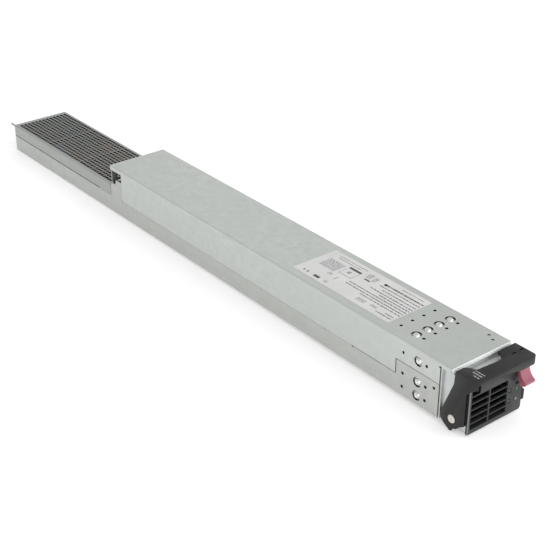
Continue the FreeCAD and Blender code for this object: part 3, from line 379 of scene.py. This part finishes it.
def moulded(name, colour, roughness, grain, change=0.10, shine=0.5, painted_edge_highlight=None):
    """Moulded plastic: fine grain, faint flow clouds and worn, shinier patches.

    The painted edge highlight is the highest X and the highest Y of a rounded edge painted paler
    as a highlight, and how many times paler it is.
    """
    g = Graph(name)
    low, high = tones(colour, change)
    clouds = g.spread(g.noise(scale=70, detail=5), low=0.0, high=1.0)
    body = g.blend(clouds, low, high)
    # Painted highlight: the rounded edge below these X and Y is painted paler, standing in for
    # the light it catches
    if painted_edge_highlight:
        edge_x, edge_y, gain = painted_edge_highlight
        paler_edge = g.math("MULTIPLY", g.math("LESS_THAN", g.axis("X"), edge_x),
                      g.math("LESS_THAN", g.axis("Y"), edge_y))
        body = g.blend(paler_edge, body, shade(colour, gain))
    g.colour(body)
    g.rough(g.spread(g.noise(scale=40, detail=4), low=roughness - 0.07, high=roughness + 0.07))
    g.bump(g.noise(scale=grain, detail=3), strength=0.25, distance=0.00006)
    g.set(Specular_IOR_Level=shine)
    return g.material


def bright_metal(name, colour, roughness, marks=1400):
    """Bright metal with fine rub marks and slightly uneven shine."""
    g = Graph(name)
    low, high = tones(colour, change=0.08)
    g.colour(g.blend(g.noise(scale=300, detail=4), low, high))
    rub_marks = g.noise(scale=marks, detail=3, stretch=(1, 6, 1))
    g.rough(g.spread(rub_marks, low=roughness, high=roughness + 0.12))
    g.bump(g.noise(scale=marks, detail=2), strength=0.08, distance=0.00004)
    g.set(Metallic=1.0)
    return g.material


def lens(name, colour):
    """A tinted light pipe: milky, with a faintly uneven face."""
    g = Graph(name)
    low, high = tones(colour, change=0.12)
    g.colour(g.blend(g.noise(scale=500, detail=3), low, high))
    g.rough(g.spread(g.noise(scale=900, detail=2), low=0.18, high=0.32))
    g.bump(g.noise(scale=700, detail=2), strength=0.1, distance=0.00005)
    g.set(Transmission_Weight=0.25, IOR=1.49)
    return g.material


def laminate(name, colour):
    """A circuit board: woven texture under solder mask, with paler tracks."""
    g = Graph(name)
    low, high = tones(colour, change=0.2)
    weave = g.blend(g.noise(scale=1800, detail=2), low, high)
    track_level = 0.56
    track = g.math("GREATER_THAN", g.noise(scale=55, detail=1, stretch=(1, 0.25, 1)), track_level)
    g.colour(g.blend(track, weave, shade(colour, factor=1.9)))
    g.rough(g.spread(g.noise(scale=80, detail=3), low=0.3, high=0.5))
    g.bump(g.noise(scale=2000, detail=2), strength=0.15, distance=0.00004)
    return g.material


def winding(name, colour, turns):
    """Wire or tape wound round a core, turn beside turn."""
    g = Graph(name)
    wire = g.wave(scale=turns, distortion=1.2, detail=1.5)
    low, high = tones(colour, change=0.45)
    g.colour(g.blend(wire, low, high))
    g.rough(g.spread(g.noise(scale=200, detail=3), low=0.3, high=0.45))
    g.bump(wire, strength=0.6, distance=0.0003)
    g.set(Metallic=0.6)
    return g.material


def film_label(name, low, high):
    """A pale satin film with faint clouds and a very fine grain."""
    g = Graph(name)
    clouds = g.spread(g.noise(scale=45, detail=4), low=0.0, high=1.0)
    g.colour(g.blend(clouds, low, high))
    g.rough(g.spread(g.noise(scale=60, detail=3), low=0.42, high=0.55))
    g.bump(g.noise(scale=1200, detail=2), strength=0.05, distance=0.00003)
    return g.material


# Finishes, one for each slot of the record, and one for the vent webs, painted darker as shade
zinc_colour = (0.53, 0.555, 0.53)
finishes = {
    "galvanised": zinc("galvanised", zinc_colour, roughness=0.42, metallic=0.75),
    # Painted shade: the base's inner faces and cut edges are painted near black
    "base_zinc": zinc("base_zinc", (0.48, 0.49, 0.47), roughness=0.46, metallic=0.7, painted_shade_boxes=(
        (case_half - painted_shade_skin, -far, case_end - painted_shade_skin, painted_shade_skin, far),
        (case_half - edge_skin, bend_room, base_shade_end, bend_room, base_shade_top))),
    # Painted shade: the webs wear a darker copy of the zinc
    "web_zinc_painted_shade": zinc("web_zinc_painted_shade", (0.28, 0.29, 0.28), roughness=0.5, metallic=0.6),
    # Painted shade inside the nose, and a painted highlight on its top lip
    "nose_steel": zinc("nose_steel", (0.54, 0.56, 0.555), roughness=0.36, metallic=0.8, painted_shade_boxes=(
        (nose_half - painted_shade_skin, nose_shade_front, far, -far, nose_top - painted_shade_skin),),
        lip_highlight=("Z", lip_foot, far)),
    "handle_plastic": moulded("handle_plastic", (0.016, 0.0155, 0.0150), roughness=0.46,
                              grain=2600, shine=0.28),
    # Painted highlight on the bezel's rounded left edge
    "bezel_plastic": moulded("bezel_plastic", (0.026, 0.027, 0.028), roughness=0.42, grain=2400,
                             shine=0.3, painted_edge_highlight=(bezel_edge, bezel_front, edge_highlight_gain)),
    "latch_plastic": moulded("latch_plastic", (0.335, 0.098, 0.135), roughness=0.42, grain=2400),
    "rivet": moulded("rivet", (0.58, 0.56, 0.49), roughness=0.4, grain=1500, change=0.05),
    "pin_steel": bright_metal("pin_steel", (0.62, 0.62, 0.61), roughness=0.22),
    "spring_steel": bright_metal("spring_steel", (0.70, 0.70, 0.68), roughness=0.13),
    "lens_green": lens("lens_green", (0.10, 0.18, 0.14)),
    "lens_amber": lens("lens_amber", (0.32, 0.25, 0.23)),
    "label": film_label("label", (0.62, 0.615, 0.61), (0.68, 0.675, 0.67)),
    "board": laminate("board", (0.012, 0.045, 0.022)),
    "insulator": moulded("insulator", (0.55, 0.52, 0.42), roughness=0.35, grain=900),
    "fan_plastic": moulded("fan_plastic", (0.022, 0.022, 0.023), roughness=0.45, grain=2000),
    "screw": bright_metal("screw", (0.58, 0.58, 0.56), roughness=0.28),
    "capacitor": moulded("capacitor", (0.02, 0.03, 0.07), roughness=0.3, grain=1400),
    "wire": winding("wire", (0.16, 0.06, 0.03), turns=330),
    "heat_sink": bright_metal("heat_sink", (0.66, 0.66, 0.67), roughness=0.35, marks=700),
    "transistor": moulded("transistor", (0.025, 0.025, 0.026), roughness=0.5, grain=1800),
    "ferrite": moulded("ferrite", (0.05, 0.05, 0.054), roughness=0.6, grain=1200, change=0.2),
    "tape": winding("tape", (0.58, 0.36, 0.05), turns=60),
    "copper": bright_metal("copper", (0.07, 0.035, 0.022), roughness=0.6),
    "film": moulded("film", (0.20, 0.075, 0.03), roughness=0.45, grain=1000),
    "relay": moulded("relay", (0.035, 0.07, 0.12), roughness=0.45, grain=1000),
    "fuse": moulded("fuse", (0.10, 0.10, 0.09), roughness=0.4, grain=1000, change=0.05),
    "connector": moulded("connector", (0.025, 0.025, 0.026), roughness=0.45, grain=2200),
    "contact_gold": bright_metal("contact_gold", (0.72, 0.52, 0.20), roughness=0.2),
}

# Finishes of single nodes, whose slot's finish wouldn't fit their inner faces or place: the
# covers with painted shade inside and a painted highlight on the lip, and the indicator board
# darkened as painted shade
node_finishes = {
    # Painted shade inside the top cover and on its hole walls, and a painted highlight on its
    # front lip
    "top_cover": zinc("top_zinc", zinc_colour, roughness=0.42, metallic=0.75, painted_shade_boxes=(
        (case_half - painted_shade_skin, painted_shade_skin, roof_end - painted_shade_skin, -far,
         case_top - painted_shade_skin),
        (case_half - bend_room, bend_room, roof_end - bend_room, -far, case_top - edge_skin),
        (case_half - edge_skin, bend_room, roof_end - bend_room, -far, case_top - bend_room)),
        lip_highlight=("Y", -far, lip_depth)),
    # Painted shade inside the rear cover and on its vent walls
    "rear_cover": zinc("rear_zinc", (0.38, 0.395, 0.38), roughness=0.42, metallic=0.75, painted_shade_boxes=(
        (case_half - painted_shade_skin, -far, case_end - painted_shade_skin, -far, rear_roof - painted_shade_skin),
        (case_half - bend_room, vent_first - bend_room, case_end - bend_room, -far,
         rear_roof - edge_skin))),
    # Painted shade: the indicator board behind the grille is a near black copy of the board
    # finish
    "indicator_board": laminate("board_painted_shade", (0.005, 0.009, 0.007)),
}

# Finishes of print, and of painted shade in holes and recesses
detail_finishes = {
    "ink": moulded("ink", (0.05, 0.05, 0.052), roughness=0.5, grain=1500),
    "pale_ink": moulded("pale_ink", (0.27, 0.27, 0.28), roughness=0.5, grain=1500),
    "mark": moulded("mark", (0.34, 0.34, 0.33), roughness=0.5, grain=1500),
    "symbol": moulded("symbol", (0.13, 0.13, 0.13), roughness=0.5, grain=1500),
    "shadow": moulded("shadow", (0.03, 0.032, 0.03), roughness=0.6, grain=1500),
    # Painted shade: near black for the plates in the icon recesses
    "recess_painted_shade": moulded("recess_painted_shade", (0.004, 0.004, 0.004), roughness=0.7, grain=1500, shine=0.1),
}


# Mesh helpers
def piece(name, mesh, body, slot, smooth=False, finish=None):
    """Makes an object that rides on a body and wears its slot's finish, or another one."""
    thing = bpy.data.objects.new(name, mesh)
    bpy.context.scene.collection.objects.link(thing)
    mesh.materials.clear()
    mesh.materials.append(finish or finishes[slot])
    for face in mesh.polygons:
        face.use_smooth = smooth
    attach(thing, body)
    return thing


def built(name, fill):
    """A mesh that a function fills in through a bmesh."""
    form = bmesh.new()
    fill(form)
    bmesh.ops.recalc_face_normals(form, faces=form.faces)
    mesh = bpy.data.meshes.new(name)
    form.to_mesh(mesh)
    form.free()
    return mesh


def add_box(form, low, high):
    middle = (Vector(low) + Vector(high)) / 2
    size = Vector(high) - Vector(low)
    place = Matrix.Translation(middle) @ Matrix.Diagonal((*size, 1.0))
    bmesh.ops.create_cube(form, size=1.0, matrix=place)


def add_turned(form, profile, place, steps):
    """Turns pairs of radius and height about the local Z of a placing matrix."""
    rings = []
    for radius, height in profile:
        if radius < point_radius:
            rings.append([form.verts.new(place @ Vector((0, 0, height)))])
            continue
        points = []
        for step in range(steps):
            turn = math.tau * step / steps
            spot = Vector((radius * math.cos(turn), radius * math.sin(turn), height))
            points.append(form.verts.new(place @ spot))
        rings.append(points)
    for lower, upper in zip(rings, rings[1:]):
        for step in range(steps):
            after = (step + 1) % steps
            corners = [lower[step % len(lower)], lower[after % len(lower)],
                       upper[after % len(upper)], upper[step % len(upper)]]
            unique = list(dict.fromkeys(corners))
            if len(unique) > 2:
                form.faces.new(unique)


def rounded_copy(node, name, body, slot, width):
    """A copy of a CAD node with its sharp edges softened, shown in the node's place."""
    mesh = frame["nodes"][node].data.copy()
    form = bmesh.new()
    form.from_mesh(mesh)
    bmesh.ops.remove_doubles(form, verts=form.verts, dist=merge_distance)
    bmesh.ops.dissolve_limit(form, angle_limit=flat_angle, verts=form.verts, edges=form.edges)
    form.to_mesh(mesh)
    form.free()
    thing = piece(name, mesh, body, slot, smooth=True)
    bevel = thing.modifiers.new("edges", "BEVEL")
    bevel.width = width
    bevel.segments = softening_segments
    bevel.limit_method = "ANGLE"
    bevel.angle_limit = sharp_angle
    bevel.use_clamp_overlap = True
    bevel.harden_normals = True
    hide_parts(node)


# Sub-parts of the looks
def dress_frame():
    """Gives every CAD node its own finish, or else the finish of its slot."""
    slots = {row["node"]: row["material_slot"] for row in frame["record"]["subparts"]}
    for name, node in frame["nodes"].items():
        node.data.materials.clear()
        node.data.materials.append(node_finishes.get(name, finishes[slots[name]]))


def vent_webs():
    """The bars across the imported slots, which turn them into the real square holes."""
    def fill(form):
        for row in range(vent_rows):
            x = (row - (vent_rows - 1) / 2) * vent_pitch
            for column in range(vent_columns - 1):
                if (column + 1) % vents_joined == 0:
                    continue
                middle = vent_first + (column + 1) * vent_pitch - (vent_pitch - vent_hole) / 2
                add_box(form, (x - vent_hole / 2, middle - web_width / 2, rear_roof - sheet),
                        (x + vent_hole / 2, middle + web_width / 2, rear_roof - web_drop))
    # The webs wear a darker zinc, as painted shade
    piece("vent_webs", built("vent_webs", fill), "case", "galvanised",
          finish=finishes["web_zinc_painted_shade"])


def dome_profile():
    """A smooth dome on a small flare: pairs of radius and height above the finger."""
    rise = finger_gap + sheet + dome_height
    ball = (dome_radius ** 2 + rise ** 2) / (2 * rise)
    widest = math.asin(dome_radius / ball)
    profile = [(dome_radius + flare_outer, 0.0), (dome_radius + flare_inner, flare_rise)]
    for step in range(dome_rings + 1):
        turn = widest * (1 - step / dome_rings)
        profile.append((ball * math.sin(turn), ball * math.cos(turn) - ball * math.cos(widest)))
    return profile


def add_comb(form, place, across, dome, root):
    """A flat comb under a plate at Z 0, with a smooth pressed dome near each finger's tip."""
    high = -finger_gap
    low = high - finger_thickness
    edge = finger_width / 2
    profile = dome_profile()

    def put(low_corner, high_corner):
        start = len(form.verts)
        add_box(form, low_corner, high_corner)
        form.verts.ensure_lookup_table()
        bmesh.ops.transform(form, matrix=place, verts=form.verts[start:])

    put((min(across) - edge, root - finger_root, low),
        (max(across) + edge, root + finger_root, high))
    for x in across:
        put((x - edge, dome - finger_reach, low), (x + edge, root - finger_root, high))
        add_turned(form, profile, place @ Matrix.Translation((x, dome, high)), fine_steps)


def contact_combs():
    """The three combs of spring fingers, each in its node's place."""
    roof = Matrix.Translation((0, 0, roof_under))
    left = Matrix.Translation((-inner, 0, 0)) @ to_left
    right = Matrix.Diagonal((-1, 1, 1, 1)) @ left
    for side, body, place, across, dome, root in (
            ("top", "contacts_top", roof, top_dome_places, top_dome_y, top_root_y),
            ("left", "contacts_left", left, side_dome_heights, side_dome_y, side_root_y),
            ("right", "contacts_right", right, side_dome_heights, side_dome_y, side_root_y)):
        mesh = built("spring_fingers_" + side,
                     lambda form: add_comb(form, place, across, dome, root))
        comb = piece("spring_fingers_" + side, mesh, body, "spring_steel", smooth=True)
        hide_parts("contact_fingers_" + side)


def rivet_heads():
    """Turned rivets: a domed head with a small dimple, the shank, and the tail inside."""
    profile = [(radius * mm, height * mm) for radius, height in rivet_profile]

    def fill(form):
        for side in (-1, 1):
            outward = Matrix.Rotation(math.radians(90 * side), 4, "Y")
            middle = Matrix.Translation((side * rivet_face, pivot_y, pivot_z))
            add_turned(form, profile, middle @ outward, fine_steps)
    rivets = piece("rivet_heads", built("rivet_heads", fill), "case", "rivet", smooth=True)
    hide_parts("handle_pivots")


def sheet_marks():
    """Shallow pressed and welded marks on the roof, the side wall and the base strip."""
    marks = (
        ("weld_marks", "galvanised", roof_welds, blister, weld_rise),
        ("wall_marks", "galvanised", wall_marks, ring, mark_rise),
        ("base_marks", "base_zinc", base_marks, blister, mark_rise),
    )
    for name, slot, places, shape, rise in marks:
        def fill(form):
            for place, radius in places:
                turn = to_left if place[0] <= -case_half else Matrix.Identity(4)
                profile = [(radius * out, rise * up) for out, up in shape]
                add_turned(form, profile, Matrix.Translation(place) @ turn, mark_steps)
        piece(name, built(name, fill), "case", slot, smooth=True)


def seam_relief_shadows():
    """Spots of painted shade in place of the small round relief holes that end each stretch of
    the side seam; no holes are cut.
    """
    def fill(form):
        for y, z, radius in relief_places:
            spot = [(radius, relief_foot), (radius, relief_rim), (0.0, relief_crown)]
            place = Matrix.Translation((-case_half, y, z)) @ to_left
            add_turned(form, spot, place, relief_steps)
    piece("seam_relief_shadows", built("seam_relief_shadows", fill), "case", "galvanised",
          finish=detail_finishes["shadow"])


def seam_flanges_painted_shade():
    """Thin flanges inside the rear section, which close the seam between base and cover; they lie
    in the base finish's painted shade box and show near black as painted shade.
    """
    floor, roof = flange_low, flange_high
    back = case_end - sheet

    def fill(form):
        for side in (-1, 1):
            near, away = sorted((side * inner, side * (inner - flange_sheet)))
            add_box(form, (near, flange_start, floor), (away, back, roof))
        add_box(form, (flange_sheet - inner, back - flange_sheet, floor),
                (inner - flange_sheet, back, roof))
    piece("seam_flanges_painted_shade", built("seam_flanges_painted_shade", fill), "case", "base_zinc")


def add_dashes(form, picker, row, top):
    """A row of uneven dashes along Y, where the real part has a line of print."""
    across, start, end, height = row
    here = start
    while here < end:
        length = min(picker.uniform(*dash_lengths), end - here)
        add_box(form, ((across - height / 2) * mm, here * mm, top - print_rise),
                ((across + height / 2) * mm, (here + length) * mm, top + print_rise))
        here += length + picker.uniform(*dash_spaces)


def label_print():
    """Rows of dashes, plain blocks and hatched panels, with no letters or symbols."""
    picker = random.Random(label_seed)

    def lines(form):
        for row in label_rows:
            add_dashes(form, picker, row, label_top)

    def blocks(form):
        for x, y, wide, long in dark_blocks:
            add_box(form, ((x - wide / 2) * mm, (y - long / 2) * mm, label_top - print_rise),
                    ((x + wide / 2) * mm, (y + long / 2) * mm, label_top + print_rise))

    def panels(form):
        for x, y, wide, long in pale_blocks:
            rows = max(1, round(wide / panel_pitch))
            pitch = wide / rows
            for row in range(rows):
                across = x - wide / 2 + (row + 0.5) * pitch
                tall = pitch if rows == 1 else panel_ink * pitch
                add_dashes(form, picker, (across, y - long / 2, y + long / 2, tall), label_top)
    for name, fill, ink in (("label_lines", lines, "ink"), ("label_blocks", blocks, "ink"),
                            ("label_panels", panels, "pale_ink")):
        piece(name, built(name, fill), "case", "label", finish=detail_finishes[ink])


def handle_print():
    """Short pale dashes in place of the print on the handle's left end."""
    picker = random.Random(handle_seed)

    def fill(form):
        for row in handle_rows:
            add_dashes(form, picker, row, case_top)
    piece("handle_dashes", built("handle_dashes", fill), "handle", "handle_plastic",
          finish=detail_finishes["mark"])


def icon_bars():
    """A near black plate of painted shade in each of the bezel's two small recesses, with plain
    bars for its symbol.
    """
    half_wide, half_tall = icon_size[0] / 2, icon_size[1] / 2

    def shade_plates(form):
        for z in icon_heights:
            add_box(form, (icon_x - half_wide, icon_floor - plate_front, z - half_tall),
                    (icon_x + half_wide, icon_floor + plate_back, z + half_tall))

    def bars(form):
        for z in icon_heights:
            for step, tall in zip((-1, 0, 1), bar_heights):
                x = icon_x + step * bar_pitch
                add_box(form, (x - bar_half, icon_floor - bar_rise, z - tall / 2),
                        (x + bar_half, icon_floor, z + tall / 2))
    piece("icon_shade_plates", built("icon_shade_plates", shade_plates), "case", "bezel_plastic",
          finish=detail_finishes["recess_painted_shade"])
    piece("icon_bars", built("icon_bars", bars), "case", "bezel_plastic",
          finish=detail_finishes["symbol"])


dress_frame()
vent_webs()
contact_combs()
rivet_heads()
sheet_marks()
seam_relief_shadows()
seam_flanges_painted_shade()
label_print()
handle_print()
icon_bars()
rounded_copy("handle", "handle_shell", "handle", "handle_plastic", handle_softening)
rounded_copy("release_latch", "latch_trigger", "latch", "latch_plastic", latch_softening)
rounded_copy("front_bezel", "bezel_face", "case", "bezel_plastic", bezel_softening)


# Camera, light and floor
def make_camera():
    """A camera where the photograph was taken from."""
    data = bpy.data.cameras.new("camera")
    data.sensor_width = camera_sensor
    data.lens = camera_lens
    camera = bpy.data.objects.new("camera", data)
    bpy.context.scene.collection.objects.link(camera)
    camera.location = camera_at
    aim = Vector(camera_aim) - Vector(camera_at)
    camera.rotation_mode = "QUATERNION"
    camera.rotation_quaternion = aim.to_track_quat("-Z", "Y")
    bpy.context.scene.camera = camera


def area_light(name, at, aim, size, power):
    """A white softbox that faces its aim."""
    data = bpy.data.lights.new(name, "AREA")
    data.shape = "RECTANGLE"
    data.size, data.size_y = size
    data.energy = power
    light = bpy.data.objects.new(name, data)
    bpy.context.scene.collection.objects.link(light)
    light.location = at
    light.rotation_mode = "QUATERNION"
    light.rotation_quaternion = (Vector(aim) - Vector(at)).to_track_quat("-Z", "Y")


def make_world(strength):
    """Even light from all round, and a plain white background where the camera sees it."""
    world = bpy.data.worlds.new("studio")
    world.use_nodes = True
    bpy.context.scene.world = world
    tree = world.node_tree
    lit = tree.nodes["Background"]
    lit.inputs["Color"].default_value = white
    lit.inputs["Strength"].default_value = strength
    seen = tree.nodes.new("ShaderNodeBackground")
    seen.inputs["Strength"].default_value = 1.0
    seen.inputs["Color"].default_value = white
    path = tree.nodes.new("ShaderNodeLightPath")
    mix = tree.nodes.new("ShaderNodeMixShader")
    tree.links.new(path.outputs["Is Camera Ray"], mix.inputs["Fac"])
    tree.links.new(lit.outputs["Background"], mix.inputs[1])
    tree.links.new(seen.outputs["Background"], mix.inputs[2])
    tree.links.new(mix.outputs["Shader"], tree.nodes["World Output"].inputs["Surface"])


def make_floor():
    """A plain pale floor under the cam teeth and the rear end of the case."""
    slope = floor_rear - floor_front
    lean = math.atan2(slope.z, slope.y)
    mesh = bpy.data.meshes.new("floor")
    corners = []
    for x, y in ((-1, -1), (1, -1), (1, 1), (-1, 1)):
        corner = Vector((x, y * math.cos(lean), y * math.sin(lean))) * floor_reach
        corners.append(corner + floor_front)
    mesh.from_pydata(corners, [], [(0, 1, 2, 3)])
    floor = bpy.data.objects.new("floor", mesh)
    bpy.context.scene.collection.objects.link(floor)
    g = Graph("floor")
    g.colour(g.blend(g.noise(scale=3, detail=2), floor_low, floor_high))
    g.set(Roughness=0.9, Specular_IOR_Level=0.1)
    g.set(Emission_Color=white, Emission_Strength=floor_glow)
    mesh.materials.append(g.material)


make_camera()
make_world(world_strength)
for lamp in lamps:
    area_light(*lamp)
make_floor()
bpy.context.scene.view_settings.view_transform = "Standard"
